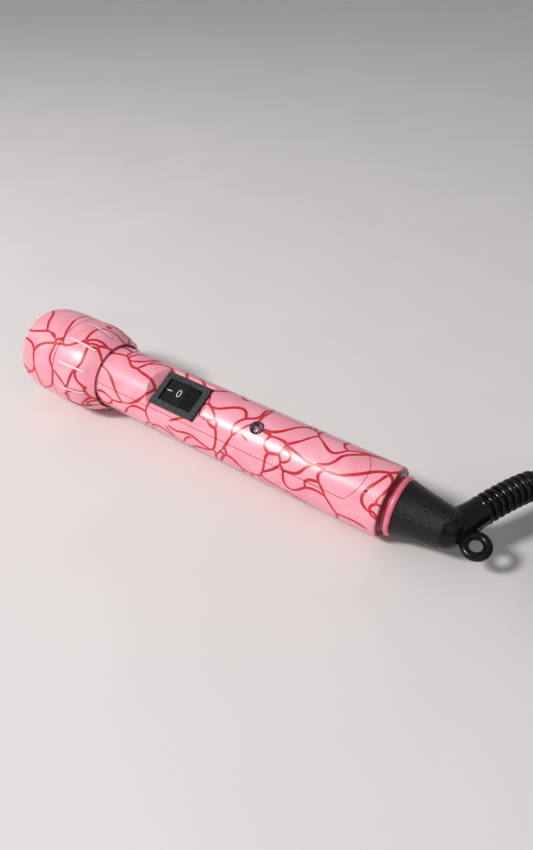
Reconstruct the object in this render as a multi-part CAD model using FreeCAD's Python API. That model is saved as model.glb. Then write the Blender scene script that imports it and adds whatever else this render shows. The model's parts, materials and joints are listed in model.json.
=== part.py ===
import FreeCAD
import Part
import math
import os

# Handle of a curling wand with interchangeable barrels, lying on a flat surface, in millimetres.
# The pieces are drawn on the handle's own axis: X runs from the tube's front end (x = 0) to the tail, and
# +Z is the side that the switch is on.  They are then rolled, tilted and moved to where they lie at rest.

# ---- driving dimensions ----
# tube and its cover
TUBE_R = 16.0
TUBE_WALL = 2.2
TUBE_START = -8.0
TUBE_END = 155.4
RIM_ROUND = 1.1
COVER_HALF = 11.41
COVER_SIDE_END = 139.5
COVER_TIP = 145.2
SEAM = 0.25
CASE_SCREW_X = (20.0, 126.5)
ROLL = 27.0

# head: dome cap, socket and lock
HEAD_R = 22.75
HEAD_FRONT = -51.5
HEAD_REST_X = -22.0
HEAD_IN_R = 20.4
DOME_START = -33.5
MOUTH_R = 17.0
PARTING = -25.2
PARTING_GAP = 0.25
SOCKET_R = 14.2
SOCKET_OUT_R = 16.0
SOCKET_RIM = -49.0
SOCKET_STEP = -21.0
SOCKET_FOOT_R = 12.6
SOCKET_FLOOR = -15.0
SOCKET_BACK = -9.0
SOCKET_BACK_R = 11.4
SOCKET_SCREW_Z = (-8.5, 8.5)
SOCKET_SCREW_R = 1.2
COLLAR_END = -0.9
COLLAR_CURVE = [(-17.0, 22.55), (-11.0, 21.85), (-7.2, 20.8), (-4.6, 19.5), (COLLAR_END, 17.5)]
COLLAR_IN_R = 20.0
KEY_RING = (-24.4, -19.4)
LAND = (-13.2, -8.4)
RIB_COUNT = 11
RIB_HALF = 0.5
LUG_ANGLES = (30.0, 150.0, 270.0)
LOCK_TRAVEL = 30.0
DETENT_ANGLE = 130.0
DETENT_X = -10.8
BALL_R = 1.3
CONTACT_Y = (-5.0, 5.0)
GUIDE_R = 2.6
PLUNGER_R = 1.6
PLUNGER_NOSE = -18.6

# switch and lamp
SWITCH_X = 45.65
BEZEL_LONG = 26.0
BEZEL_WIDE = 18.6
BEZEL_Z = 13.1
FLAT_Z = 11.6
OPENING_LONG = 19.4
OPENING_WIDE = 12.2
ROCKER_PIVOT_Z = 10.0
ROCKER_R = 9.45
ROCKER_LEAN = 7.0
TERMINAL_X = (38.4, SWITCH_X, 52.9)
BLADE_Z = 1.3
BLADE_LEAN = 8.0
LED_X = 90.7
LED_R = 3.4
LENS_R = 2.5

# board: first and last x, half its width, underside and top
BOARD = (64.0, 122.0, 11.0, -0.8, 0.8)
BOARD_POSTS = ((68.0, 7.5), (118.0, -7.5))
RESISTOR_X = (84.0, 98.0, 104.0, 112.0)
WIRE_R = 0.9

# swivel and tail
NECK_SEAT = 149.9
NECK_R = 13.4
NECK_GROOVE_R = 12.5
NECK_BEAD_R = 13.6
NECK_END = 160.0
NECK_BORE_R = 11.3
SPINDLE_R = 7.0
SPINDLE_BORE_R = 4.2
CLIP = (145.4, 146.5)
SLIP_RINGS = ((136.8, 139.4), (141.4, 144.0))
RING_R = 8.4
TAIL_WIRES = ((138.1, 1), (142.7, -1))
TAIL_BORE_END = 173.0
CONE_START = 160.3
CONE_R = 12.6
CONE_MIDDLE = 171.0
CONE_MIDDLE_R = 10.5
CONE_END = 180.0
CONE_TIP_R = 9.3
CONE_BORE_R = 7.4
TONGUE_LEAN = 49.0
TONGUE_AT = 60.0
DOME_TIP = 187.8
LOOP_X = 193.1
LOOP_R = 4.6
LOOP_WIRE_R = 1.9
LOOP_ASIDE = 1.9
TAIL_ROLL = 20.0

# cord, its sleeve, its coil and the plug
CORD_D = 7.0
SLEEVE_R = 6.4
SLEEVE_CORE_R = 4.7
SLEEVE_ROOT_R = 7.6
SLEEVE_ROOT_LONG = 15.0
SLEEVE_EDGES = 9
SLEEVE_PITCH = 3.4
SLEEVE_RIB = 1.9
COIL_CENTRE = (190.5, 20.0)
COIL_MID_R = 38.5
COIL_COLUMNS = 2
COIL_LAYERS = 4
COIL_LAYER_RISE = 6.8
TIE_THICK = 0.8
TIE_HALF = 5.5
TIE_ANGLE = -90.0
PLUG_AT = (289.7, 20.1)
PLUG_TURN = 65.0
PLUG_HALF = 24.5
PLUG_HIGH = 23.0
PLUG_CORD_Z = 12.0
PIN_PLACES = ((-11.1, -8.0, 6.3, 4.0), (11.1, -8.0, 6.3, 4.0), (0.0, 14.2, 4.0, 8.0))
HATCH_Y = (-15.0, 11.0)

# The cord's way from the elbow to the coil, and from the coil to the plug, where the part lies at rest.
LEAD_ROUTE = [
    (107.9, 1.0, 14.7),
    (112.6, 9.7, 17.3),
    (117.3, 19.3, 19.3),
    (122.2, 29.6, 20.2),
    (127.6, 40.6, 19.9),
    (136.0, 50.6, 17.2),
    (146.7, 57.8, 12.8),
    (159.2, 61.6, 8.6),
    (172.2, 62.2, 5.5),
    (185.2, 62.0, 4.4),
]
PLUG_ROUTE = [
    (208.2, 58.1, 24.7),
    (218.2, 53.4, 24.3),
    (227.9, 48.3, 21.0),
    (237.8, 43.4, 16.5),
    (247.9, 39.0, 13.1),
    (258.0, 34.8, 12.0),
]

TUBE_IN_R = TUBE_R - TUBE_WALL
CORD_R = CORD_D / 2
COIL_HALF = COIL_COLUMNS * CORD_D / 2 + 0.3
COIL_HIGH = CORD_D + (COIL_LAYERS - 1) * COIL_LAYER_RISE
TILT = math.degrees(math.atan2(HEAD_R - TUBE_R, TUBE_END - RIM_ROUND - HEAD_REST_X))


def vec(x, y, z):
    return FreeCAD.Vector(x, y, z)


X_AXIS = vec(1, 0, 0)
Y_AXIS = vec(0, 1, 0)
Z_AXIS = vec(0, 0, 1)
PIVOT = vec(SWITCH_X, 0, ROCKER_PIVOT_Z)
FINGER_WAY = vec(-math.sin(math.radians(ROCKER_LEAN)), 0, -math.cos(math.radians(ROCKER_LEAN)))
ROCKER_NECK = PIVOT + FINGER_WAY * 2.2
ROCKER_TIP = PIVOT + FINGER_WAY * 6.6


# ---- shapes that the pieces are made of ----
def edges_of(start, steps):
    """Edges of a flat outline, whose steps are points, ("arc", middle, end) or ("curve", points)."""
    made = []
    here = start
    for step in steps:
        if step[0] == "arc":
            made.append(Part.Arc(here, step[1], step[2]).toShape())
            here = step[2]
        elif step[0] == "curve":
            spline = Part.BSplineCurve()
            spline.interpolate([here] + list(step[1]))
            made.append(spline.toShape())
            here = step[1][-1]
        else:
            made.append(Part.LineSegment(here, step).toShape())
            here = step
    if here.distanceToPoint(start) > 1e-6:
        made.append(Part.LineSegment(here, start).toShape())
    return made


def flat_points(steps, plane):
    turned_steps = []
    for step in steps:
        if step[0] == "arc":
            turned_steps.append(("arc", plane(*step[1]), plane(*step[2])))
        elif step[0] == "curve":
            turned_steps.append(("curve", [plane(*p) for p in step[1]]))
        else:
            turned_steps.append(plane(*step))
    return turned_steps


def turned(start, *steps):
    """A solid of revolution about X, from an outline of (x, radius) points."""

    def plane(x, r):
        return vec(x, 0, r)

    edges = edges_of(plane(*start), flat_points(steps, plane))
    face = Part.Face(Part.Wire(edges))
    return face.revolve(vec(0, 0, 0), X_AXIS, 360)


def slab_xz(y0, y1, start, *steps):
    """A prism across Y, from an outline of (x, z) points."""

    def plane(x, z):
        return vec(x, y0, z)

    edges = edges_of(plane(*start), flat_points(steps, plane))
    return Part.Face(Part.Wire(edges)).extrude(vec(0, y1 - y0, 0))


def slab_xy(z0, z1, start, *steps):
    """A prism along Z, from an outline of (x, y) points."""

    def plane(x, y):
        return vec(x, y, z0)

    edges = edges_of(plane(*start), flat_points(steps, plane))
    return Part.Face(Part.Wire(edges)).extrude(vec(0, 0, z1 - z0))


def block(x0, x1, y0, y1, z0, z1):
    return Part.makeBox(x1 - x0, y1 - y0, z1 - z0, vec(x0, y0, z0))


def rod(x0, x1, radius):
    return Part.makeCylinder(radius, x1 - x0, vec(x0, 0, 0), X_AXIS)


def ring(x0, x1, outer, inner):
    return rod(x0, x1, outer).cut(rod(x0 - 1, x1 + 1, inner))


def peg(start, end, radius):
    way = end - start
    return Part.makeCylinder(radius, way.Length, start, way)


def upright(x, y, z0, z1, radius):
    return peg(vec(x, y, z0), vec(x, y, z1), radius)


def joined(first, *others):
    shape = first
    for other in others:
        shape = shape.fuse(other)
    return shape.removeSplitter()


def group(*solids):
    return Part.makeCompound(list(solids))


def about_x(shape, degrees):
    copy = shape.copy()
    copy.rotate(vec(0, 0, 0), X_AXIS, degrees)
    return copy


def bent_path(points):
    """Straight runs joined by tangent arcs, each as large as its two runs allow."""
    spots = [vec(*p) for p in points]
    edges = []
    here = spots[0]
    for before, corner, after in zip(spots[:-2], spots[1:-1], spots[2:]):
        back = before - corner
        on = after - corner
        shorter = min(back.Length, on.Length)
        half_turn = (math.pi - back.getAngle(on)) / 2
        radius = 0.45 * shorter / math.tan(half_turn)
        cut = 0.45 * shorter
        start = corner + back.normalize() * cut
        end = corner + on.normalize() * cut
        inward = (back + on).normalize()
        middle = corner + inward * (radius / math.cos(half_turn) - radius)
        edges.append(Part.LineSegment(here, start).toShape())
        edges.append(Part.Arc(start, middle, end).toShape())
        here = end
        print("bend radius %.0f mm, turn %.0f degrees" % (radius, math.degrees(2 * half_turn)))
    edges.append(Part.LineSegment(here, spots[-1]).toShape())
    return edges


def swept(edges, radius):
    """A round tube along edges that join smoothly."""
    start = edges[0].valueAt(edges[0].FirstParameter)
    heading = edges[0].tangentAt(edges[0].FirstParameter)
    profile = Part.Wire(Part.makeCircle(radius, start, heading))
    tube = Part.Wire(edges).makePipeShell([profile], True, False)
    tube = Part.Solid(tube) if tube.ShapeType != "Solid" else tube
    length = sum(e.Length for e in edges)
    ideal = math.pi * radius**2 * length
    print("tube %.1f mm long, volume %.0f against %.0f" % (length, tube.Volume, ideal))
    return tube


# ---- where the handle lies ----


def laid_down(shape, shift):
    """From the handle's own axis to where it lies, with its head and its rear rim on the surface."""
    copy = shape.copy()
    copy.rotate(vec(0, 0, 0), Y_AXIS, TILT)
    copy.translate(shift)
    return copy


def rest_height():
    """Height of the handle's axis at x = 0, where the head's widest circle touches z = 0."""
    tilt = math.radians(TILT)
    return HEAD_R * math.cos(tilt) + HEAD_REST_X * math.sin(tilt)


# ---- head ----
def dome_curve(count=9, power=2.7):
    """The dome's outside from its widest circle to its mouth, a quarter of a superellipse."""
    long = DOME_START - HEAD_FRONT
    points = []
    for i in range(1, count + 1):
        turn = math.pi / 2 * i / count
        x = DOME_START - long * math.sin(turn) ** (2 / power)
        r = MOUTH_R + (HEAD_R - MOUTH_R) * max(math.cos(turn), 0.0) ** (2 / power)
        points.append((x, r))
    points[-1] = (HEAD_FRONT, MOUTH_R)
    return points


def dome_cap():
    edge = PARTING - PARTING_GAP / 2
    shell = turned(
        (edge, HEAD_R - 0.3),
        ("arc", (edge - 0.09, HEAD_R - 0.09), (edge - 0.3, HEAD_R)),
        (DOME_START, HEAD_R),
        ("curve", dome_curve()),
        ("arc", (HEAD_FRONT + 0.4, SOCKET_OUT_R + 0.3), (HEAD_FRONT + 1.4, SOCKET_OUT_R)),
        (-46.0, SOCKET_OUT_R),
        (-46.0, 19.2),
        (-40.0, HEAD_IN_R),
        (-28.2, HEAD_IN_R),
        (-28.2, SOCKET_OUT_R),
        (edge, SOCKET_OUT_R),
    )
    return shell


def lock_collar():
    edge = PARTING + PARTING_GAP / 2
    shell = turned(
        (edge, HEAD_R - 0.3),
        ("arc", (edge + 0.09, HEAD_R - 0.09), (edge + 0.3, HEAD_R)),
        (HEAD_REST_X, HEAD_R),
        ("curve", COLLAR_CURVE),
        ("arc", (COLLAR_END + 0.15, 17.1), (COLLAR_END, 16.8)),
        (LAND[1], 16.8),
        (LAND[1], SOCKET_OUT_R + 0.15),
        (LAND[0], SOCKET_OUT_R + 0.15),
        (LAND[0], 19.2),
        (KEY_RING[1], COLLAR_IN_R),
        (edge, COLLAR_IN_R),
    )
    ribs = []
    for i in range(RIB_COUNT):
        rib = slab_xz(
            -RIB_HALF,
            RIB_HALF,
            (-21.4, 21.6),
            (-21.4, 22.45),
            ("arc", (-20.9, 22.76), (-20.0, HEAD_R + 0.08)),
            ("curve", [(-16.5, 22.9), (-11.0, 22.4), (-7.6, 21.5), (-5.4, 20.4)]),
            (-4.9, 19.2),
            (-7.0, 20.0),
            (-11.0, 21.0),
        )
        ribs.append(about_x(rib, 360.0 * i / RIB_COUNT))
    groove = ring(LAND[0] + 1.0, LAND[1] - 1.0, 17.2, SOCKET_OUT_R)
    sweep = wedge(groove, DETENT_ANGLE - 6 - LOCK_TRAVEL, DETENT_ANGLE + 6)
    return joined(shell, *ribs).cut(sweep)


def wedge(shape, first, last):
    """The part of a round shape between two angles about X, counted from +Z towards -Y."""
    reach = 40.0
    corners = [vec(-80, 0, 0)]
    for step in range(5):
        angle = math.radians(first + (last - first) * step / 4)
        corners.append(vec(-80, -reach * math.sin(angle), reach * math.cos(angle)))
    face = Part.Face(Part.makePolygon(corners + [corners[0]]))
    return shape.common(face.extrude(vec(160, 0, 0)))


def lock_ring():
    """The bayonet ring inside the collar, with three lugs that reach through the socket's windows."""
    body = ring(KEY_RING[0], KEY_RING[1], COLLAR_IN_R, SOCKET_OUT_R + 0.15)
    lug_stock = ring(-23.4, -20.4, 17.0, SOCKET_R + 0.2)
    return joined(body, *[wedge(lug_stock, a, a + 16) for a in LUG_ANGLES])


def socket_housing():
    """The insulating cup that takes the barrel's plug, with its spigot in the tube."""
    body = turned(
        (SOCKET_RIM - 1.0, SOCKET_R + 0.5),
        (SOCKET_RIM - 0.6, SOCKET_OUT_R),
        (TUBE_START, SOCKET_OUT_R),
        (TUBE_START, TUBE_IN_R - 0.05),
        (4.0, TUBE_IN_R - 0.05),
        (4.0, SOCKET_BACK_R),
        (SOCKET_BACK, SOCKET_BACK_R),
        (SOCKET_BACK, 0.0),
        (SOCKET_FLOOR, 0.0),
        (SOCKET_FLOOR, SOCKET_FOOT_R),
        (SOCKET_STEP, SOCKET_FOOT_R),
        (SOCKET_STEP, SOCKET_R),
        (SOCKET_RIM, SOCKET_R),
    )
    window_stock = ring(-24.2, -19.6, 18.0, SOCKET_FOOT_R - 0.6)
    channel_stock = ring(-50.5, -24.0, SOCKET_R + 1.0, SOCKET_R - 1.0)
    for a in LUG_ANGLES:
        body = body.cut(wedge(window_stock, a - 4, a + 20 + LOCK_TRAVEL))
        body = body.cut(wedge(channel_stock, a + 22, a + 44))
    for y in CONTACT_Y:
        body = body.cut(peg(vec(-30, y, 0), vec(0, y, 0), GUIDE_R))
    for z in SOCKET_SCREW_Z:
        body = body.cut(peg(vec(-16, 0, z), vec(-8, 0, z), SOCKET_SCREW_R))
    pocket = turned_peg(DETENT_X, DETENT_ANGLE, 11.0, 17.0, 1.35)
    return body.cut(pocket)


def turned_peg(x, angle, r0, r1, radius):
    a = math.radians(angle)
    way = vec(0, -math.sin(a), math.cos(a))
    return peg(vec(x, 0, 0) + way * r0, vec(x, 0, 0) + way * r1, radius)


def detent_ball():
    a = math.radians(DETENT_ANGLE)
    centre = vec(DETENT_X, -15.5 * math.sin(a), 15.5 * math.cos(a))
    return Part.makeSphere(BALL_R, centre)


def detent_spring():
    coil = Part.makeHelix(0.7, 2.8, 0.95)
    wire = Part.Wire(Part.makeCircle(0.2, vec(0.95, 0, 0), Y_AXIS))
    spring = Part.Wire(coil).makePipeShell([wire], True, True)
    spring.rotate(vec(0, 0, 0), X_AXIS, DETENT_ANGLE)
    a = math.radians(DETENT_ANGLE)
    spring.translate(vec(DETENT_X, -11.25 * math.sin(a), 11.25 * math.cos(a)))
    return spring


def socket_screws():
    """Two screws that hold the socket's floor to the wire plate behind it."""
    made = []
    for z in SOCKET_SCREW_Z:
        head = peg(vec(SOCKET_FLOOR - 1.2, 0, z), vec(SOCKET_FLOOR, 0, z), 2.1)
        shank = peg(vec(SOCKET_FLOOR, 0, z), vec(-7.2, 0, z), SOCKET_SCREW_R)
        slot = block(-16.4, -15.8, -2.2, 2.2, z - 0.25, z + 0.25)
        made.append(joined(head, shank).cut(slot))
    return group(*made)


def wire_plate():
    """The insulating plate that closes the socket's floor and holds the contact guides."""
    plate = rod(SOCKET_BACK, -6.6, SOCKET_BACK_R - 0.1)
    for y in CONTACT_Y:
        plate = plate.cut(peg(vec(-12, y, 0), vec(0, y, 0), GUIDE_R))
    for z in SOCKET_SCREW_Z:
        plate = plate.cut(peg(vec(-12, 0, z), vec(0, 0, z), SOCKET_SCREW_R))
    return plate


def contact_guides():
    """Brass sleeves that the sprung contacts slide in."""
    made = []
    for y in CONTACT_Y:
        body = peg(vec(-15.6, y, 0), vec(0.0, y, 0), GUIDE_R)
        bore = peg(vec(-16, y, 0), vec(-1.2, y, 0), PLUNGER_R + 0.4)
        throat = peg(vec(-17, y, 0), vec(-14.6, y, 0), PLUNGER_R + 0.1)
        body = body.cut(bore)
        lip = peg(vec(-15.6, y, 0), vec(-14.8, y, 0), GUIDE_R).cut(throat)
        made.append(joined(body, lip))
    return group(*made)


def contact_plunger(y):
    """A sprung contact: a round nose in the socket and a collar that keeps it in its guide."""
    stem = peg(vec(PLUNGER_NOSE, y, 0), vec(-12.4, y, 0), PLUNGER_R)
    nose = Part.makeSphere(PLUNGER_R, vec(PLUNGER_NOSE, y, 0))
    collar = peg(vec(-14.4, y, 0), vec(-12.4, y, 0), PLUNGER_R + 0.2)
    return joined(stem, nose, collar)


def contact_springs():
    made = []
    for y in CONTACT_Y:
        coil = Part.Wire(Part.makeHelix(1.25, 8.4, 1.5))
        wire = Part.Wire(Part.makeCircle(0.22, vec(1.5, 0, 0), Y_AXIS))
        spring = coil.makePipeShell([wire], True, True)
        spring.rotate(vec(0, 0, 0), Y_AXIS, 90)
        spring.translate(vec(-10.0, y, 0))
        made.append(spring)
    return group(*made)


# ---- tube and cover ----
def cover_outline(grow, z0, z1):
    """The cover's outline seen from the switch side: straight sides closed by an arc."""
    half = COVER_HALF + grow
    return slab_xy(
        z0,
        z1,
        (TUBE_START - 1, -half),
        (COVER_SIDE_END, -half),
        ("arc", (COVER_TIP + grow, 0.0), (COVER_SIDE_END, half)),
        (TUBE_START - 1, half),
    )


def grip_shell():
    body = turned(
        (TUBE_START, TUBE_IN_R),
        (TUBE_START, TUBE_R),
        (TUBE_END - RIM_ROUND, TUBE_R),
        ("arc", (TUBE_END - 0.29 * RIM_ROUND, TUBE_R - 0.29 * RIM_ROUND), (TUBE_END, TUBE_R - RIM_ROUND)),
        (TUBE_END, NECK_R),
        (NECK_SEAT, NECK_R),
        (NECK_SEAT, TUBE_IN_R),
    )
    body = body.cut(cover_outline(0.0, 1.0, 20.0))
    notch = upright(147.4, -5.2, 15.0, 17.0, 0.45)
    notch = joined(notch, block(147.0, 148.2, -5.65, -4.75, 14.4, 17.0))
    body = body.cut(notch)
    inside = rod(TUBE_START, TUBE_END, TUBE_IN_R + 0.4)
    for x in CASE_SCREW_X:
        post = upright(x, 0, -14.2, -9.2, 3.9).common(inside)
        body = joined(body, post)
        body = body.cut(upright(x, 0, -17, -8, 1.6)).cut(upright(x, 0, -17, -12.4, 3.1))
    for x, y in BOARD_POSTS:
        post = upright(x, y, -13.4, BOARD[3], 2.3).common(inside)
        body = joined(body, post).cut(upright(x, y, -6.0, 0, 1.0))
    return body


def top_cover():
    stock = cover_outline(-SEAM, 1.0, 20.0)
    wall = ring(TUBE_START, TUBE_END, TUBE_R, TUBE_IN_R).common(stock)
    seat = block(27.0, 64.3, -COVER_HALF, COVER_HALF, FLAT_Z - 2.2, 16.0)
    seat = seat.common(stock).common(rod(20, 80, TUBE_R))
    body = joined(wall, seat)
    front = SWITCH_X - BEZEL_LONG / 2 - 0.1
    rear = SWITCH_X + BEZEL_LONG / 2 + 0.1
    lift = TUBE_R - FLAT_Z
    pocket = slab_xz(
        -20,
        20,
        (front, FLAT_Z),
        (rear, FLAT_Z),
        (rear + lift + 1, TUBE_R + 1),
        (front - lift + 0.2, TUBE_R + 1),
        (front - lift + 0.5, TUBE_R),
    )
    body = body.cut(pocket)
    body = body.cut(block(SWITCH_X - 11.1, SWITCH_X + 11.1, -7.6, 7.6, 0, 20))
    body = body.cut(upright(LED_X, 0, 0, 20, 3.4))
    for x in CASE_SCREW_X:
        boss = upright(x, 0, -8.9, 14.0, 2.7)
        body = joined(body, boss).cut(upright(x, 0, -9.5, 0.5, 1.3))
    return body


def case_screws():
    made = []
    for x in CASE_SCREW_X:
        head = upright(x, 0, -14.5, -12.4, 2.9)
        shank = upright(x, 0, -12.4, 0.0, 1.3)
        cross = joined(
            block(x - 1.7, x + 1.7, -0.35, 0.35, -15, -13.5),
            block(x - 0.35, x + 0.35, -1.7, 1.7, -15, -13.5),
        )
        made.append(joined(head, shank).cut(cross))
    return group(*made)


# ---- rocker switch ----
def across(x, z, radius, y0, y1):
    return peg(vec(x, y0, z), vec(x, y1, z), radius)


def switch_housing():
    flange = block(
        SWITCH_X - BEZEL_LONG / 2,
        SWITCH_X + BEZEL_LONG / 2,
        -BEZEL_WIDE / 2,
        BEZEL_WIDE / 2,
        FLAT_Z,
        BEZEL_Z,
    )
    top = [e for e in flange.Edges if e.BoundBox.ZMin > BEZEL_Z - 0.01]
    flange = flange.makeChamfer(0.35, top)
    box = block(SWITCH_X - 11.0, SWITCH_X + 11.0, -7.5, 7.5, -2.6, FLAT_Z)
    hole = block(
        SWITCH_X - OPENING_LONG / 2,
        SWITCH_X + OPENING_LONG / 2,
        -OPENING_WIDE / 2,
        OPENING_WIDE / 2,
        -1.0,
        20,
    )
    body = joined(flange, box).cut(hole)
    body = body.cut(across(SWITCH_X, ROCKER_PIVOT_Z, 0.9, -7.0, 7.0))
    for x in TERMINAL_X:
        body = body.cut(block(x - 0.4, x + 0.4, -2.4, 2.4, -5, 2))
    return body


def rocker():
    """The key: a wide front face with a gentle crown, a ridge and a short steep rear face."""
    body = slab_xz(
        -5.9,
        5.9,
        (SWITCH_X - 10.0, 8.6),
        (SWITCH_X - 10.0, 12.3),
        ("arc", (SWITCH_X - 3.2, 13.75), (SWITCH_X + 3.0, 14.4)),
        ("arc", (SWITCH_X + 6.4, 12.1), (SWITCH_X + 10.0, 10.4)),
        (SWITCH_X + 10.0, 8.6),
        (SWITCH_X + 4.0, 6.0),
        (SWITCH_X - 4.0, 6.0),
    )
    body = body.common(across(SWITCH_X, ROCKER_PIVOT_Z, ROCKER_R, -7, 7))
    body = body.cut(across(SWITCH_X, ROCKER_PIVOT_Z, 1.0, -8, 8))
    return body.cut(peg(ROCKER_NECK, ROCKER_TIP, 1.0))


def switch_plunger():
    """The sprung finger under the rocker that tips the contact blade."""
    tip = Part.makeSphere(1.0, ROCKER_TIP)
    return joined(peg(ROCKER_NECK, ROCKER_TIP, 1.0), tip)


def rocker_pin():
    return across(SWITCH_X, ROCKER_PIVOT_Z, 0.9, -7.0, 7.0)


def switch_blade():
    """The rocking contact, tipped to its open side."""
    strip = block(-7.6, 7.6, -2.0, 2.0, 0.35, 0.8)
    saddle = peg(vec(0, -2.0, 0), vec(0, 2.0, 0), 0.6)
    stud = upright(7.0, 0, 0.0, 0.35, 1.0)
    body = joined(strip, saddle, stud)
    body.rotate(vec(0, 0, 0), Y_AXIS, -BLADE_LEAN)
    body.translate(vec(SWITCH_X, 0, BLADE_Z))
    return body


def switch_terminals():
    made = []
    for x, top in zip(TERMINAL_X, (0.15, 0.6, 0.15)):
        made.append(block(x - 0.4, x + 0.4, -2.4, 2.4, -9.4, top))
    return group(*made)


# ---- indicator ----
def lamp_bezel():
    body = upright(LED_X, 0, 12.6, 15.62, LED_R).cut(upright(LED_X, 0, 12, 16, LENS_R))
    dish = Part.makeCone(LENS_R, LED_R - 0.2, 0.75, vec(LED_X, 0, 14.88), Z_AXIS)
    return body.cut(dish)


def lamp_lens():
    body = upright(LED_X, 0, 9.8, 14.2, LENS_R)
    dome = Part.makeSphere(3.4, vec(LED_X, 0, 11.55)).common(upright(LED_X, 0, 14.2, 16, LENS_R))
    return joined(body, dome)


def lamp_body():
    made = [upright(LED_X, 0, 6.2, 9.8, 2.0)]
    for y in (-1.0, 1.0):
        made.append(upright(LED_X, y, BOARD[4], 6.2, 0.3))
    return joined(*made)


# ---- electronics inside the tube ----
def control_board():
    x0, x1, half, z0, z1 = BOARD
    board = block(x0, x1, -half, half, z0, z1)
    for x, y in BOARD_POSTS:
        board = board.cut(upright(x, y, -2, 2, 1.4))
    return board


def board_screws():
    made = []
    for x, y in BOARD_POSTS:
        head = upright(x, y, BOARD[4], 2.4, 2.2)
        slot = block(x - 2.3, x + 2.3, y - 0.25, y + 0.25, 1.8, 3)
        made.append(joined(head, upright(x, y, -5.6, BOARD[4], 1.0)).cut(slot))
    return group(*made)


def power_triac():
    tab = block(76.0, 77.3, -5.0, 5.0, BOARD[4] + 1.0, 11.0)
    body = block(77.3, 80.6, -5.0, 5.0, BOARD[4] + 1.0, 9.4)
    legs = [block(78.6, 79.2, y - 0.35, y + 0.35, BOARD[4], BOARD[4] + 1.0) for y in (-2.5, 0, 2.5)]
    return joined(tab, body, *legs)


def mains_capacitor():
    body = block(98.0, 111.0, -4.0, 4.0, BOARD[4], 8.6)
    return body.makeFillet(0.8, [e for e in body.Edges if e.BoundBox.ZMin > 8.5])


def control_chip():
    body = block(83.6, 87.6, -6.0, -1.0, BOARD[4] + 0.3, 2.4)
    legs = []
    for i in range(4):
        y = -5.4 + 1.27 * i
        legs.append(block(82.8, 83.6, y - 0.2, y + 0.2, BOARD[4], BOARD[4] + 0.6))
        legs.append(block(87.6, 88.4, y - 0.2, y + 0.2, BOARD[4], BOARD[4] + 0.6))
    base = block(83.6, 87.6, -6.0, -1.0, BOARD[4], BOARD[4] + 0.6)
    return joined(body, base, *legs)


def board_resistors():
    low = BOARD[4]
    return group(*[block(x, x + 3.2, 6.0, 7.6, low, low + 0.9) for x in RESISTOR_X])


def thermal_fuse():
    can = peg(vec(24.6, -6.0, -6.0), vec(33.0, -6.0, -6.0), 1.7)
    return joined(can, peg(vec(23.4, -6.0, -6.0), vec(34.4, -6.0, -6.0), 0.5))


def wire(points, radius=WIRE_R):
    return swept(bent_path(points), radius)


def heater_wires():
    """From the sprung contacts' guides back past the switch; one of them carries the thermal fuse."""
    fused = wire(
        [(0.0, -5.0, 0.0), (6.0, -5.0, 0.0), (13.0, -6.0, -4.6), (18.4, -6.0, -6.0), (23.4, -6.0, -6.0)]
    )
    plain = wire([(0.0, 5.0, 0.0), (7.0, 5.0, 0.0), (17.0, 6.0, -5.4), (28.0, 5.4, -7.0), (40.0, 5.6, -7.4),
                  (50.0, 5.2, -6.6), (58.0, 5.0, -3.4), (64.0, 4.6, -1.7)])
    return group(fused, plain)


def live_wire():
    """From the rear brush to the switch's rear terminal."""
    return wire([(131.9, -4.0, -6.0), (124.0, -4.0, -6.0), (108.0, -2.0, -6.6), (90.0, -2.6, -7.2),
                 (74.0, -1.4, -6.6), (60.0, 0.0, -7.0), (53.3, 0.0, -7.0)])


def switched_wire():
    """From the thermal fuse to the switch's middle terminal."""
    return wire([(34.4, -6.0, -6.0), (37.4, -6.0, -6.0), (41.2, -1.2, -7.6), (45.25, -1.2, -7.6)])


def neutral_wire():
    """From the front brush to the control board."""
    return wire([(131.9, 5.0, 4.0), (129.4, 5.0, 4.0), (125.2, 6.0, 0.0), (122.0, 6.0, 0.0)], 0.7)


# ---- swivel at the tail ----
def neck_ring():
    """A ring with a groove behind the tube's rim and a round bead at its end."""
    bead_x = NECK_END - 1.3
    return turned(
        (NECK_SEAT, NECK_BORE_R),
        (NECK_SEAT, NECK_R),
        (TUBE_END, NECK_R),
        (TUBE_END + 0.5, NECK_GROOVE_R),
        (bead_x - 1.3, NECK_GROOVE_R),
        ("arc", (bead_x, NECK_BEAD_R), (NECK_END, NECK_GROOVE_R)),
        (NECK_END, 11.7),
        ("arc", (NECK_END - 0.12, 11.42), (NECK_END - 0.4, NECK_BORE_R)),
    )


def swivel_bush():
    return joined(
        ring(147.0, NECK_SEAT, TUBE_IN_R, SPINDLE_R + 0.15),
        ring(149.0, 154.6, 11.2, SPINDLE_R + 0.15),
    )


def brush_holder():
    body = rod(131.9, 134.4, TUBE_IN_R)
    body = body.cut(rod(130, 136, 4.4))
    body = body.cut(block(131, 135, -3, 3, -14, -11.4))
    body = body.cut(cover_outline(0.4, 1.0, 20.0).cut(rod(100, 160, 13.2)))
    return body.cut(rod(133.6, 136, 9.0))


def contact_brushes():
    """Sprung strips that press on the slip rings, one from each side."""
    made = []
    for (x0, x1), side in zip(SLIP_RINGS, (1, -1)):
        z0 = RING_R + 0.15
        strip = block(134.4, x1, -2.2, 2.2, z0, z0 + 0.5)
        foot = block(134.4, 135.0, -2.2, 2.2, z0, 12.6)
        piece = joined(strip, foot)
        made.append(piece if side > 0 else about_x(piece, 180))
    return group(*made)


def slip_ring(x0, x1):
    return ring(x0, x1, RING_R, SPINDLE_R)


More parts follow.
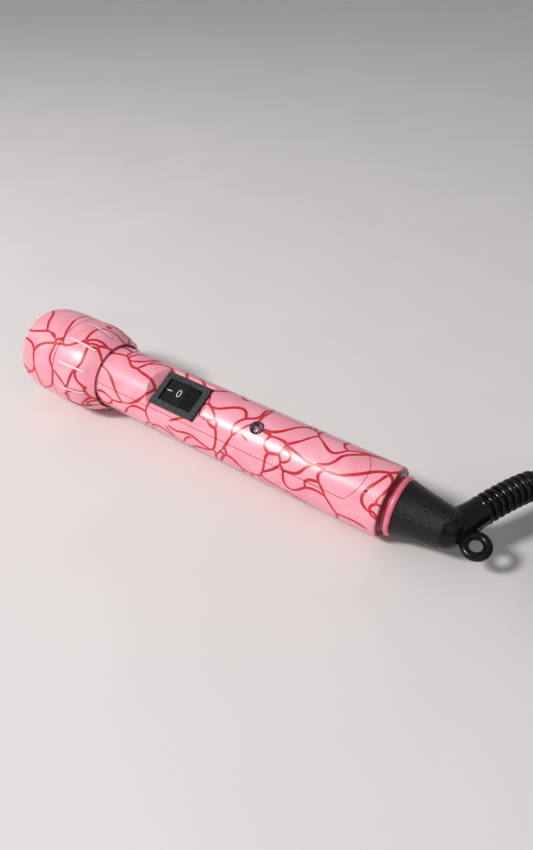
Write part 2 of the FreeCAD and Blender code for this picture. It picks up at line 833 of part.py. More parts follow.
def swivel_spindle():
    body = ring(135.4, 163.0, SPINDLE_R, SPINDLE_BORE_R)
    body = body.cut(ring(CLIP[0], CLIP[1] + 0.1, 9.0, SPINDLE_R - 0.7))
    for x, side in TAIL_WIRES:
        body = body.cut(upright(x, 0, min(0, side * 8), max(0, side * 8), 0.8))
    return body


def tail_wires():
    """From the cord's end through the hollow spindle to the two slip rings."""
    made = []
    for x, side in TAIL_WIRES:
        along = peg(vec(x - 0.8, 0, 1.6 * side), vec(TAIL_BORE_END, 0, 1.6 * side), 0.8)
        out = peg(vec(x, 0, 1.6 * side), vec(x, 0, 6.9 * side), 0.7)
        made.append(joined(along, out))
    return group(*made)


def spindle_clip():
    body = ring(CLIP[0], CLIP[1], 9.0, SPINDLE_R - 0.7)
    return body.cut(block(145, 147, -2.5, 2.5, -12, 0))


def friction_washer():
    return ring(155.1, 156.2, 10.6, SPINDLE_R)


def swivel_cone():
    """The grained cone that turns in the neck ring, with a tongue over the cord's root."""
    cone = turned(
        (156.2, SPINDLE_R),
        (156.2, 11.0),
        (CONE_START, 11.0),
        (CONE_START, CONE_R - 0.5),
        ("arc", (CONE_START + 0.15, CONE_R - 0.15), (CONE_START + 0.5, CONE_R)),
        ("arc", (CONE_MIDDLE, CONE_MIDDLE_R), (CONE_END - 0.4, CONE_TIP_R)),
        ("arc", (CONE_END - 0.12, CONE_TIP_R - 0.12), (CONE_END, CONE_TIP_R - 0.4)),
        (CONE_END, CONE_BORE_R),
        (166.0, CONE_BORE_R),
        (163.0, SPINDLE_R),
    )
    return joined(cone, cone_tongue())


def cone_tongue():
    """The cone's surface carried on over the cord's root, up to a slanting end."""
    stock = turned(
        (CONE_END - 1.0, CONE_BORE_R),
        (CONE_END - 1.0, CONE_TIP_R),
        (CONE_END, CONE_TIP_R),
        ("arc", (CONE_END + 4.0, CONE_TIP_R - 0.7), (CONE_END + 7.0, CONE_BORE_R)),
    )
    keep = block(-30, 0, -30, 30, -30, 30)
    keep.rotate(vec(0, 0, 0), Y_AXIS, TONGUE_LEAN)
    keep.translate(vec(CONE_END, 0, 3.65))
    keep.rotate(vec(0, 0, 0), X_AXIS, TONGUE_AT - 90)
    return stock.common(keep)


def elbow_dome():
    dome = turned(
        (168.0, 0.0),
        (168.0, CONE_BORE_R),
        (CONE_END, CONE_BORE_R),
        (CONE_END, CONE_TIP_R - 0.4),
        ("arc", (CONE_END + 5.5, 6.5), (DOME_TIP, 0.0)),
    )
    return dome.cut(cone_tongue()).cut(rod(167.0, TAIL_BORE_END, SPINDLE_BORE_R))


def hanging_loop():
    side = vec(0, math.cos(math.radians(TAIL_ROLL)), math.sin(math.radians(TAIL_ROLL)))
    normal = vec(0, -side.z, side.y)
    centre = vec(LOOP_X, 0, 0) - side * LOOP_ASIDE
    eye = Part.makeTorus(LOOP_R, LOOP_WIRE_R, centre, normal)
    root = vec(LOOP_X - 7.2, 0, 0) - side * 1.4
    rim = vec(LOOP_X - LOOP_R, 0, 0) - side * 1.6
    return joined(eye, peg(root, rim, 2.0))


# ---- cord, coil and plug, where they lie ----
def sleeve_root(grow=0.0):
    """The flared root that joins the sleeve to the elbow."""
    start = vec(*LEAD_ROUTE[0])
    heading = vec(*LEAD_ROUTE[1]) - start
    return Part.makeCone(SLEEVE_ROOT_R + grow, SLEEVE_R + grow, SLEEVE_ROOT_LONG, start, heading)


def strain_relief(edges):
    """A smooth flared root and a ribbed bending sleeve round the cord, narrower towards its end."""
    stations = Part.Wire(edges).discretize(Distance=SLEEVE_PITCH / 2)
    pieces = [sleeve_root(), swept(edges, SLEEVE_CORE_R)]
    first = int(SLEEVE_ROOT_LONG / SLEEVE_PITCH * 2) + 1
    count = (len(stations) - first - 1) // 2
    for i in range(count):
        k = first + 2 * i
        along = (stations[k + 1] - stations[k - 1]).normalize()
        narrow = max(0.0, (i - 0.8 * count) / (0.2 * count))
        radius = SLEEVE_R + 0.1 - 1.4 * narrow
        pieces.append(Part.makeCylinder(radius, SLEEVE_RIB, stations[k] - along * SLEEVE_RIB / 2, along))
    body = joined(*pieces)
    return body.cut(swept(edges, CORD_R + 0.1))


def cord_coil():
    """The outer shape of the wound cord: a ring on the surface."""
    centre = vec(COIL_CENTRE[0], COIL_CENTRE[1], TIE_THICK)
    outer = Part.makeCylinder(COIL_MID_R + COIL_HALF, COIL_HIGH, centre)
    outer = outer.makeFillet(2.5, [e for e in outer.Edges if e.Closed])
    inner = Part.makeCylinder(COIL_MID_R - COIL_HALF, COIL_HIGH + 2, centre - vec(0, 0, 1))
    return outer.cut(inner)


def cord_tie():
    """The strap round the wound cord."""
    reach = COIL_HALF + TIE_THICK
    band = block(COIL_MID_R - reach, COIL_MID_R + reach, -TIE_HALF, TIE_HALF, 0, COIL_HIGH + 2 * TIE_THICK)
    band.rotate(vec(0, 0, 0), Z_AXIS, TIE_ANGLE)
    band.translate(vec(COIL_CENTRE[0], COIL_CENTRE[1], 0))
    return band.cut(cord_coil())


def plug_placed(shape):
    copy = shape.copy()
    copy.rotate(vec(0, 0, 0), Z_AXIS, PLUG_TURN)
    copy.translate(vec(PLUG_AT[0], PLUG_AT[1], 0))
    return copy


def plug_body():
    """A three-pin mains plug on its back; the cord comes in at its +Y edge."""
    body = slab_xy(
        0,
        PLUG_HIGH,
        (-PLUG_HALF, -12.0),
        ("arc", (-PLUG_HALF + 3.0, -20.5), (-12.0, -PLUG_HALF)),
        (12.0, -PLUG_HALF),
        ("arc", (PLUG_HALF - 3.0, -20.5), (PLUG_HALF, -12.0)),
        (PLUG_HALF - 1.0, 16.0),
        ("arc", (PLUG_HALF - 3.5, 21.5), (16.0, PLUG_HALF)),
        (-16.0, PLUG_HALF),
        ("arc", (-PLUG_HALF + 3.5, 21.5), (-PLUG_HALF + 1.0, 16.0)),
    )
    low = [e for e in body.Edges if e.BoundBox.ZMax < 0.01]
    body = body.makeFillet(2.5, low)
    grommet = Part.makeCone(6.6, 4.8, 14.0, vec(0, PLUG_HALF - 1, PLUG_CORD_Z), Y_AXIS)
    body = joined(body, grommet)
    body = body.cut(peg(vec(0, PLUG_HALF - 6, PLUG_CORD_Z), vec(0, PLUG_HALF + 20, PLUG_CORD_Z), CORD_R))
    for x, y, long, wide in PIN_PLACES:
        body = body.cut(block(x - long / 2, x + long / 2, y - wide / 2, y + wide / 2, PLUG_HIGH - 8, 60))
    hatch = block(-4.0, 4.0, HATCH_Y[0], HATCH_Y[1], PLUG_HIGH - 1.2, 60)
    return body.cut(hatch)


def plug_pins():
    made = []
    for x, y, long, wide in PIN_PLACES:
        reach = 22.7 if y > 0 else 17.7
        pin = block(x - long / 2, x + long / 2, y - wide / 2, y + wide / 2, PLUG_HIGH - 8, PLUG_HIGH + reach)
        top = [e for e in pin.Edges if e.BoundBox.ZMin > PLUG_HIGH + reach - 0.01]
        made.append(pin.makeChamfer(1.0, top))
    return group(*made)


def plug_fuse_hatch():
    hatch = block(-3.9, 3.9, HATCH_Y[0] + 0.1, HATCH_Y[1] - 1.1, PLUG_HIGH - 1.2, PLUG_HIGH)
    return hatch.cut(block(-2.2, 2.2, HATCH_Y[0] + 1.4, HATCH_Y[0] + 2.0, PLUG_HIGH - 0.5, 60))


# ---- the whole part ----
HANDLE = {
    "dome_cap": dome_cap,
    "socket_housing": socket_housing,
    "socket_screws": socket_screws,
    "wire_plate": wire_plate,
    "contact_guides": contact_guides,
    "contact_springs": contact_springs,
    "live_plunger": lambda: contact_plunger(CONTACT_Y[0]),
    "neutral_plunger": lambda: contact_plunger(CONTACT_Y[1]),
    "detent_ball": detent_ball,
    "detent_spring": detent_spring,
    "lock_collar": lock_collar,
    "lock_ring": lock_ring,
    "grip_shell": grip_shell,
    "top_cover": top_cover,
    "case_screws": case_screws,
    "switch_housing": switch_housing,
    "rocker": rocker,
    "rocker_pin": rocker_pin,
    "switch_plunger": switch_plunger,
    "switch_blade": switch_blade,
    "switch_terminals": switch_terminals,
    "lamp_bezel": lamp_bezel,
    "lamp_lens": lamp_lens,
    "lamp_body": lamp_body,
    "control_board": control_board,
    "board_screws": board_screws,
    "power_triac": power_triac,
    "mains_capacitor": mains_capacitor,
    "control_chip": control_chip,
    "board_resistors": board_resistors,
    "thermal_fuse": thermal_fuse,
    "heater_wires": heater_wires,
    "live_wire": live_wire,
    "switched_wire": switched_wire,
    "neutral_wire": neutral_wire,
    "brush_holder": brush_holder,
    "contact_brushes": contact_brushes,
    "swivel_bush": swivel_bush,
    "neck_ring": neck_ring,
}
TAIL = {
    "front_slip_ring": lambda: slip_ring(*SLIP_RINGS[0]),
    "rear_slip_ring": lambda: slip_ring(*SLIP_RINGS[1]),
    "swivel_spindle": swivel_spindle,
    "spindle_clip": spindle_clip,
    "friction_washer": friction_washer,
    "tail_wires": tail_wires,
    "hanging_loop": hanging_loop,
}


def save(name, shape):
    if not shape.isValid():
        print("NOT VALID:", name)
    box = shape.BoundBox
    print("%-18s solids %d volume %8.1f  x %.1f..%.1f y %.1f..%.1f z %.1f..%.1f" % (
        name, len(shape.Solids), shape.Volume, box.XMin, box.XMax, box.YMin, box.YMax, box.ZMin, box.ZMax))
    shape.exportStep("parts/%s.step" % name)


def main():
    os.makedirs("parts", exist_ok=True)
    handle = {name: about_x(make(), ROLL) for name, make in HANDLE.items()}
    tail = {name: make() for name, make in TAIL.items()}
    lift = vec(0, 0, rest_height())
    ends = [laid_down(s, lift).optimalBoundingBox(False) for s in (handle["dome_cap"], tail["hanging_loop"])]
    shift = lift + vec(-(ends[0].XMin + ends[1].XMax) / 2, 0, 0)
    print("tilt %.3f degrees, axis origin at x %.3f z %.3f" % (TILT, shift.x, shift.z))

    lead = bent_path(LEAD_ROUTE)
    sleeve = strain_relief(lead[:SLEEVE_EDGES])
    coil = cord_coil()
    placed = {name: laid_down(s, shift) for name, s in {**handle, **tail}.items()}
    root = sleeve_root()
    placed["elbow_dome"] = laid_down(elbow_dome(), shift).cut(root).cut(placed["hanging_loop"])
    placed["swivel_cone"] = laid_down(swivel_cone(), shift).cut(sleeve_root(0.1))
    placed["strain_relief"] = sleeve.cut(placed["hanging_loop"])
    placed["cord_lead"] = swept(lead, CORD_R).cut(coil)
    placed["cord_coil"] = coil
    placed["cord_tie"] = cord_tie()
    plug = plug_placed(plug_body())
    placed["cord_end"] = swept(bent_path(PLUG_ROUTE), CORD_R).cut(coil).cut(plug)
    placed["plug_body"] = plug
    placed["plug_pins"] = plug_placed(plug_pins())
    placed["plug_fuse_hatch"] = plug_placed(plug_fuse_hatch())
    for name, shape in placed.items():
        save(name, shape)


main()
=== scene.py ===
import json
import math

import bmesh
import bpy
from mathutils import Matrix, Vector


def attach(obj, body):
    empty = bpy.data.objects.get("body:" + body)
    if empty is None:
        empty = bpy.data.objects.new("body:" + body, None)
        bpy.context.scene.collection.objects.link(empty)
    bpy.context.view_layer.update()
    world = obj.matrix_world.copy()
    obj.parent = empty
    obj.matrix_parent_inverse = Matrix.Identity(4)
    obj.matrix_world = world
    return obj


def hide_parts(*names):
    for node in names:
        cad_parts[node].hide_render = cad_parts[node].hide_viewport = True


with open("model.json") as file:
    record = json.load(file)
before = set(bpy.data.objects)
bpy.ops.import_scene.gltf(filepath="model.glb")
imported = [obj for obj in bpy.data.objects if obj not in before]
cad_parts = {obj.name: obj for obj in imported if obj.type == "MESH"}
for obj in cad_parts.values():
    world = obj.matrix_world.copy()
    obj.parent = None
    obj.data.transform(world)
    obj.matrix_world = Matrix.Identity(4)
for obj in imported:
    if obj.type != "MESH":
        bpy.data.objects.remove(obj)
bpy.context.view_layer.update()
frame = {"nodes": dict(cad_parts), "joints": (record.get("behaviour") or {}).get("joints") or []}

# Looks of the curling wand's handle. Lengths are in metres, but the shaders and the rocker's marks count in
# millimetres. The handle's own axes: X from the front end of the tube to the tail, +Z towards the switch.

NODES = frame["nodes"]
MM = 0.001

# ---- where the handle's own axes lie ----
SWIVEL = next(j for j in frame["joints"] if j["name"] == "tail_swivel")
SWIVEL_X = 0.156
AXIS = Vector(SWIVEL["axis"]).normalized()
TILT = math.atan2(-AXIS.z, AXIS.x)
ROLL = math.radians(27.0)
ORIGIN = Vector(SWIVEL["pos_m"]) - SWIVEL_X * AXIS
LAID = Matrix.Translation(ORIGIN) @ Matrix.Rotation(TILT, 4, "Y") @ Matrix.Rotation(ROLL, 4, "X")


# ---- objects and meshes ----
def placed(name, data):
    """A new object in the scene."""
    made = bpy.data.objects.new(name, data)
    bpy.context.scene.collection.objects.link(made)
    return made


def object_from(name, verts, faces):
    """A smooth-shaded piece, with its faces turned outwards."""
    mesh = bpy.data.meshes.new(name)
    mesh.from_pydata([tuple(v) for v in verts], [], faces)
    mesh.validate()
    made = bmesh.new()
    made.from_mesh(mesh)
    bmesh.ops.recalc_face_normals(made, faces=made.faces)
    made.to_mesh(mesh)
    made.free()
    for polygon in mesh.polygons:
        polygon.use_smooth = True
    return placed(name, mesh)


def tube_faces(rows, around, closed=False):
    """Faces of a tube of rows of points. A closed one runs back to its first row, an open one has caps."""
    faces = []
    for i in range(rows if closed else rows - 1):
        here, on = i * around, (i + 1) % rows * around
        for k in range(around):
            n = (k + 1) % around
            faces.append((here + k, here + n, on + n, on + k))
    if not closed:
        faces.append(tuple(reversed(range(around))))
        faces.append(tuple((rows - 1) * around + k for k in range(around)))
    return faces


def smooth_step(t):
    t = min(max(t, 0.0), 1.0)
    return t * t * (3 - 2 * t)


# ---- camera, at the photograph's angle ----
CAMERA_AT = (0.15975, -0.2074, 0.2184)
DEGREES_BELOW_LEVEL = 36.9018
DEGREES_LEFT_OF_Y = 34.4172
LENS_MM, SENSOR_MM = 29.647, 36.0
NEAREST_SEEN = 0.01


def make_camera():
    data = bpy.data.cameras.new("camera")
    data.lens = LENS_MM
    data.sensor_width = SENSOR_MM
    data.clip_start = NEAREST_SEEN
    camera = placed("camera", data)
    camera.location = CAMERA_AT
    camera.rotation_euler = (math.radians(90 - DEGREES_BELOW_LEVEL), 0, math.radians(DEGREES_LEFT_OF_Y))
    bpy.context.scene.camera = camera
    bpy.context.scene.view_settings.view_transform = "Standard"


make_camera()

# ---- cord: a lead out of the tail, a round coil, and a short end up to the plug ----
CORD_D = 0.007
LEAD = [
    (0.1079, 0.0010, 0.0147),
    (0.1126, 0.0097, 0.0173),
    (0.1173, 0.0193, 0.0193),
    (0.1222, 0.0296, 0.0202),
    (0.1276, 0.0406, 0.0199),
    (0.1360, 0.0506, 0.0172),
    (0.1467, 0.0578, 0.0128),
    (0.1592, 0.0616, 0.0086),
    (0.1722, 0.0622, 0.0055),
    (0.1852, 0.0620, 0.0044),
]
PLUG_END = [
    (0.2082, 0.0581, 0.0247),
    (0.2182, 0.0534, 0.0243),
    (0.2279, 0.0483, 0.0210),
    (0.2378, 0.0434, 0.0165),
    (0.2479, 0.0390, 0.0131),
    (0.2580, 0.0348, 0.0120),
]
COIL_AT = (0.1905, 0.0200)
COIL_MID_R = 0.0385
LOWEST = 0.0043
LAYER_RISE = 0.0068
POINTS_PER_TURN = 16
FIRST_ANGLE = 97.2
LAST_ANGLE = 65.0
WHOLE_TURNS = 7
# Each turn's place in the coil: its side of the middle radius, and its layer.
PLACES = [(1, 0), (-1, 0), (-1, 1), (1, 1), (1, 2), (-1, 2), (-1, 3), (1, 3)]
# The share of a turn that a move to the next place takes, and how far a climbing cord swings aside.
CROSSING = 0.16
CROSSING_PUSH = 0.0022
# How much of its first place the cord has passed where the coil starts, in turns.
TURN_OFFSET = 0.25
# Two waves that keep the turns from lying perfectly: size, and radians for each turn.
LOOSE_WAVES = ((0.00035, 5.1), (0.0002, 11.3))
STEPS_ALONG = 8
STEPS_ROUND = 6


def coil_place(turn):
    """Radius and height of the cord's centre, so many turns after the start of its first place."""
    whole = int(turn)
    share = turn - whole
    if share > 1 - CROSSING / 2:
        first, second, step = whole, whole + 1, (share - 1 + CROSSING / 2) / CROSSING
    elif share < CROSSING / 2 and whole > 0:
        first, second, step = whole - 1, whole, (share + CROSSING / 2) / CROSSING
    else:
        first, second, step = whole, whole, 0.0
    last = len(PLACES) - 1
    (side_a, layer_a), (side_b, layer_b) = PLACES[min(first, last)], PLACES[min(second, last)]
    part = smooth_step(step)
    side = side_a * (1 - part) + side_b * part
    layer = layer_a * (1 - part) + layer_b * part
    push = CROSSING_PUSH * math.sin(math.pi * part) * side_a if layer_a != layer_b else 0.0
    loose = sum(size * math.sin(rate * turn) for size, rate in LOOSE_WAVES)
    return COIL_MID_R + side * CORD_D / 2 + push + loose, LOWEST + layer * LAYER_RISE


def coil_points():
    """Control points of the wound cord, clockwise from the lead's end to the plug's."""
    sweep = FIRST_ANGLE - LAST_ANGLE + 360 * WHOLE_TURNS
    count = round(sweep / 360 * POINTS_PER_TURN)
    # The curve runs this share of the way out to its control points.
    inside = math.cos(math.pi / POINTS_PER_TURN)
    points = []
    for i in range(1, count):
        swept = sweep * i / count
        radius, height = coil_place(swept / 360 + TURN_OFFSET)
        angle = math.radians(FIRST_ANGLE - swept)
        x = COIL_AT[0] + radius / inside * math.cos(angle)
        y = COIL_AT[1] + radius / inside * math.sin(angle)
        points.append((x, y, height))
    return points


def make_cord():
    """A round tube. Its radius is set at its points, because a curve's box grows by that radius."""
    data = bpy.data.curves.new("mains_cord", "CURVE")
    data.dimensions = "3D"
    data.resolution_u = STEPS_ALONG
    data.bevel_depth = 1.0
    data.bevel_resolution = STEPS_ROUND
    data.use_fill_caps = True
    points = LEAD + coil_points() + PLUG_END
    spline = data.splines.new("NURBS")
    spline.points.add(len(points) - 1)
    for spot, point in zip(spline.points, points):
        spot.co = (*point, 1.0)
        spot.radius = CORD_D / 2
    spline.order_u = 3
    spline.use_endpoint_u = True
    return placed("mains_cord", data)


def centre_line(curve):
    """Points along a curve, as a curve with no bevel gives them."""
    thin = curve.copy()
    thin.data = curve.data.copy()
    thin.data.bevel_depth = 0
    bpy.context.scene.collection.objects.link(thin)
    depsgraph = bpy.context.evaluated_depsgraph_get()
    mesh = bpy.data.meshes.new_from_object(thin.evaluated_get(depsgraph))
    points = [v.co.copy() for v in mesh.vertices]
    bpy.data.meshes.remove(mesh)
    data = thin.data
    bpy.data.objects.remove(thin)
    bpy.data.curves.remove(data)
    return points


cord = make_cord()


# ---- ribbed sleeve on the cord's root ----
SLEEVE_LONG = 0.0510
SLEEVE_SIDES = 40
SLEEVE_STEP = 0.00012
ROOT_R, NECK_R, CREST_R, GROOVE_R = 0.0076, 0.0063, 0.0065, 0.0048
ROOT_LONG = 0.0145
FIRST_RIB, RIB_PITCH, RIB_HALF = 0.0153, 0.0034, 0.00095
# How far a rib's shoulders lie below its crest, and how long its side is.
SHOULDER_DROP, RIB_SIDE = 0.00055, 0.00025
# Over the last share of the sleeve's length, the crests get this much lower.
NARROWS_FROM, NARROWS_OVER, NARROWER = 0.85, 0.15, 0.0014


def sleeve_radius(s):
    """A smooth root that narrows, then rounded ribs, of which the last ones get smaller."""
    if s < ROOT_LONG:
        return ROOT_R + (NECK_R - ROOT_R) * smooth_step(s / ROOT_LONG)
    share = max(0.0, (s / SLEEVE_LONG - NARROWS_FROM) / NARROWS_OVER)
    crest = CREST_R - NARROWER * share
    off = abs((s - FIRST_RIB + RIB_PITCH / 2) % RIB_PITCH - RIB_PITCH / 2)
    if off < RIB_HALF:
        return crest - SHOULDER_DROP * (off / RIB_HALF) ** 2
    edge = smooth_step((off - RIB_HALF) / RIB_SIDE)
    return (crest - SHOULDER_DROP) * (1 - edge) + GROOVE_R * edge


def path_frames(points, step, reach):
    """Places every step along a path, with two directions across it that don't twist."""
    frames = []
    across = None
    travelled, want = 0.0, 0.0
    for a, b in zip(points, points[1:]):
        run = (b - a).length
        way = (b - a).normalized()
        if across is None:
            across = way.orthogonal().normalized()
        across = (across - way * across.dot(way)).normalized()
        while want <= travelled + run and want <= reach:
            frames.append((want, a + way * (want - travelled), across.copy(), way.cross(across)))
            want += step
        travelled += run
        if want > reach:
            break
    return frames


def make_sleeve():
    verts = []
    frames = path_frames(centre_line(cord), SLEEVE_STEP, SLEEVE_LONG)
    for s, centre, u, v in frames:
        radius = sleeve_radius(s)
        for k in range(SLEEVE_SIDES):
            a = 2 * math.pi * k / SLEEVE_SIDES
            verts.append(centre + radius * (math.cos(a) * u + math.sin(a) * v))
    piece = object_from("ribbed_sleeve", verts, tube_faces(len(frames), SLEEVE_SIDES))
    piece.data.polygons[-1].use_smooth = False
    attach(piece, "tail")
    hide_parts("strain_relief")
    return piece


sleeve = make_sleeve()


# ---- strap round the wound cord ----
TIE_ANGLE = math.radians(-90.0)
TIE_HALF = 0.0055
TIE_THICK = 0.0008
TIE_CORNER = 0.0030
CORNER_STEPS = 8
COIL_HALF = 0.0073
COIL_HIGH = 0.0274
# The band stays this much inside its CAD solid, and its edges are drawn in to this share of its width.
BAND_INSET = 0.00004
EDGE_SHARE = 0.96
# The strap's loose end: the rows it covers, its thickness and its share of the band's width.
END_ROWS = slice(4, 16)
END_THICK = 0.0009
END_SHARE = 0.94


def strap_outline(grow):
    """The strap's section round the coil, as points in the plane (outwards, up), with round corners."""
    low, high = TIE_THICK - grow, TIE_THICK + COIL_HIGH + grow
    side = COIL_HALF + grow
    radius = TIE_CORNER + grow
    spots = []
    for cx, cz, first in ((side, high, 0), (-side, high, 90), (-side, low, 180), (side, low, 270)):
        mx = cx - math.copysign(radius, cx)
        mz = cz - (radius if cz == high else -radius)
        for k in range(CORNER_STEPS + 1):
            a = math.radians(first + 90 * k / CORNER_STEPS)
            spots.append((mx + radius * math.cos(a), mz + radius * math.sin(a)))
    return spots


def strap_spot(out, up, along):
    """The point so far out from the coil's middle radius, up, and along the cord from the strap's middle."""
    r = COIL_MID_R + out
    ux, uy = math.cos(TIE_ANGLE), math.sin(TIE_ANGLE)
    return Vector((COIL_AT[0] + r * ux - along * uy, COIL_AT[1] + r * uy + along * ux, up))


def strap_band(name, inner, outer, half, closed):
    """A flat band between two outlines, with its edges a little rounded."""
    edge = half * EDGE_SHARE
    verts = []
    for a, b in zip(inner, outer):
        middle = ((a[0] + b[0]) / 2, (a[1] + b[1]) / 2)
        ring = (
            (a, -edge), (middle, -half), (b, -edge), (b, 0.0),
            (b, edge), (middle, half), (a, edge), (a, 0.0),
        )
        verts += [strap_spot(*spot, along) for spot, along in ring]
    return object_from(name, verts, tube_faces(len(inner), len(ring), closed))


def make_strap():
    inner, outer = strap_outline(BAND_INSET), strap_outline(TIE_THICK - BAND_INSET)
    band = strap_band("cord_strap", inner, outer, TIE_HALF, True)
    inner, outer = strap_outline(TIE_THICK)[END_ROWS], strap_outline(TIE_THICK + END_THICK)[END_ROWS]
    loose_end = strap_band("cord_strap_end", inner, outer, TIE_HALF * END_SHARE, False)
    for piece in (band, loose_end):
        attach(piece, "tail")
    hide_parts("cord_tie")
    return [band, loose_end]


straps = make_strap()
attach(cord, "tail")
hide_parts("cord_lead", "cord_coil", "cord_end")


# ---- shader helpers ----
# Most of a noise lies between these two.
NOISE_LOW, NOISE_HIGH = 0.3, 0.7


def node(tree, kind, inputs=None, **settings):
    """Adds a shader node. An input is a number, a colour or another node's output."""
    made = tree.nodes.new("ShaderNode" + kind)
    for key, value in settings.items():
        setattr(made, key, value)
    for key, value in (inputs or {}).items():
        if isinstance(value, bpy.types.NodeSocket):
            tree.links.new(value, made.inputs[key])
        else:
            made.inputs[key].default_value = value
    return made


def maths(tree, operation, *values):
    return node(tree, "Math", dict(enumerate(values)), operation=operation).outputs[0]


def vectors(tree, operation, *values):
    made = node(tree, "VectorMath", dict(enumerate(values)), operation=operation)
    return made.outputs["Value" if operation == "DOT_PRODUCT" else "Vector"]


def scaled(tree, vector, factor):
    return node(tree, "VectorMath", {0: vector, "Scale": factor}, operation="SCALE").outputs[0]


def stretch(tree, value, low, high, to_low=0.0, to_high=1.0):
    """Value from low to high becomes to_low to to_high, eased at both ends."""
    inputs = {"Value": value, "From Min": low, "From Max": high, "To Min": to_low, "To Max": to_high}
    return node(tree, "MapRange", inputs, interpolation_type="SMOOTHSTEP").outputs[0]


def spread(tree, value, to_low, to_high):
    """A noise, spread over a range."""
    return stretch(tree, value, NOISE_LOW, NOISE_HIGH, to_low, to_high)


def mixed(tree, factor, a, b):
    return node(tree, "Mix", {0: factor, 6: a, 7: b}, data_type="RGBA").outputs[2]


def noise(tree, vector, size, detail=2.0, rough=0.5, output="Fac"):
    """Noise whose spots are about that many millimetres across."""
    inputs = {"Vector": vector, "Scale": 1.0 / size, "Detail": detail, "Roughness": rough}
    return node(tree, "TexNoise", inputs).outputs[output]


def in_mm(tree):
    """The piece's own place, in millimetres."""
    return scaled(tree, node(tree, "TexCoord").outputs["Object"], 1.0 / MM)


def on_handle(tree):
    """The place along the handle's own axes, in millimetres, and the surface's direction on them."""
    at = node(tree, "TexCoord")
    turned = (ROLL, TILT, 0.0)
    inputs = {"Vector": at.outputs["Object"], "Location": ORIGIN, "Rotation": turned, "Scale": (MM, MM, MM)}
    place = node(tree, "Mapping", inputs, vector_type="TEXTURE").outputs[0]
    inputs = {"Vector": at.outputs["Normal"], "Rotation": turned}
    facing = node(tree, "VectorRotate", inputs, rotation_type="EULER_XYZ", invert=True).outputs[0]
    return place, facing


def part_of(tree, place, axis):
    return node(tree, "SeparateXYZ", {"Vector": place}).outputs[axis]


def new_material(name, **sockets):
    made = bpy.data.materials.new(name)
    made.use_nodes = True
    tree = made.node_tree
    shader = next(n for n in tree.nodes if n.type == "BSDF_PRINCIPLED")
    for key, value in sockets.items():
        shader.inputs[key.replace("_", " ").title().replace("Ior", "IOR")].default_value = value
    return made, tree, shader


def rgb(r, g, b):
    """A colour given as the eye sees it on a screen, 0 to 255."""
    def linear(c):
        c /= 255
        return c / 12.92 if c < 0.04045 else ((c + 0.055) / 1.055) ** 2.4
    return (linear(r), linear(g), linear(b), 1.0)


def tones(tree, value, one, other, low=NOISE_LOW, high=NOISE_HIGH):
    """One colour where the noise is low and the other where it is high."""
    return mixed(tree, stretch(tree, value, low, high), rgb(*one), rgb(*other))


def surface(tree, shader, colour, roughness):
    tree.links.new(colour, shader.inputs["Base Color"])
    tree.links.new(roughness, shader.inputs["Roughness"])


def bumped(tree, shader, height, depth, strength=1.0):
    """Shades the surface as if a height of 1 stood that many millimetres high."""
    inputs = {"Height": height, "Distance": depth * MM, "Strength": strength}
    tree.links.new(node(tree, "Bump", inputs).outputs[0], shader.inputs["Normal"])


# ---- crackle print on the pink shells, in millimetres ----
CELL = 18.0
# The size of the noise that bends the cells' edges, and how far it moves them.
BEND_SIZE, BEND = 21.0, 30.0
# How much the corners of the cells are melted together, to find where lines meet.
MELT = 0.35
# The step over which the pattern's slope is measured, and the least slope it is taken to have.
SLOPE_STEP, LEAST_SLOPE = 0.1, 0.15
# A line's half width, the size of its changes, and how much wider it gets where three lines meet.
PEN_LOW, PEN_HIGH, PEN_SIZE = 0.56, 0.84, 9.0
MEETING_LOW, MEETING_HIGH, WEB = 0.05, 0.16, 2.0
# Where this noise is under a pattern's lift, the pen is off the surface.
LIFT_SIZE, LIFT_SHIFT, LIFT_OVER, LIFT_FADE = 22.0, (31.0, 7.0, 3.0), 0.05, 0.35
LINE_EDGE = 0.12
# Each pattern's shift and lift: one full net, and pieces of a second one across it.
NET = ((-46.0, 18.0, 7.0), 0.27)
STROKES = ((-121.0, 75.0, 214.0), 0.64)


def crackle_field():
    """A group: the distance to the nearest line of a warped cell pattern, and how near three cells meet."""
    tree = bpy.data.node_groups.new("crackle_field", "ShaderNodeTree")
    tree.interface.new_socket("Place", in_out="INPUT", socket_type="NodeSocketVector")
    tree.interface.new_socket("Edge", in_out="OUTPUT", socket_type="NodeSocketFloat")
    tree.interface.new_socket("Meeting", in_out="OUTPUT", socket_type="NodeSocketFloat")
    place = tree.nodes.new("NodeGroupInput").outputs[0]
    leave = tree.nodes.new("NodeGroupOutput")
    wide = vectors(tree, "SUBTRACT", noise(tree, place, BEND_SIZE, 0.0, output="Color"), (0.5, 0.5, 0.5))
    bent = vectors(tree, "ADD", place, scaled(tree, wide, BEND))
    inputs = {"Vector": bent, "Scale": 1.0 / CELL, "Randomness": 1.0}
    edge = node(tree, "TexVoronoi", inputs, feature="DISTANCE_TO_EDGE").outputs["Distance"]
    first = node(tree, "TexVoronoi", inputs, feature="F1").outputs["Distance"]
    soft = node(tree, "TexVoronoi", {**inputs, "Smoothness": MELT}, feature="SMOOTH_F1").outputs["Distance"]
    tree.links.new(maths(tree, "MULTIPLY", edge, CELL), leave.inputs[0])
    tree.links.new(maths(tree, "SUBTRACT", first, soft), leave.inputs[1])
    return tree


FIELD = crackle_field()


def field_at(tree, place):
    made = tree.nodes.new("ShaderNodeGroup")
    made.node_tree = FIELD
    tree.links.new(place, made.inputs[0])
    return made.outputs[0], made.outputs[1]


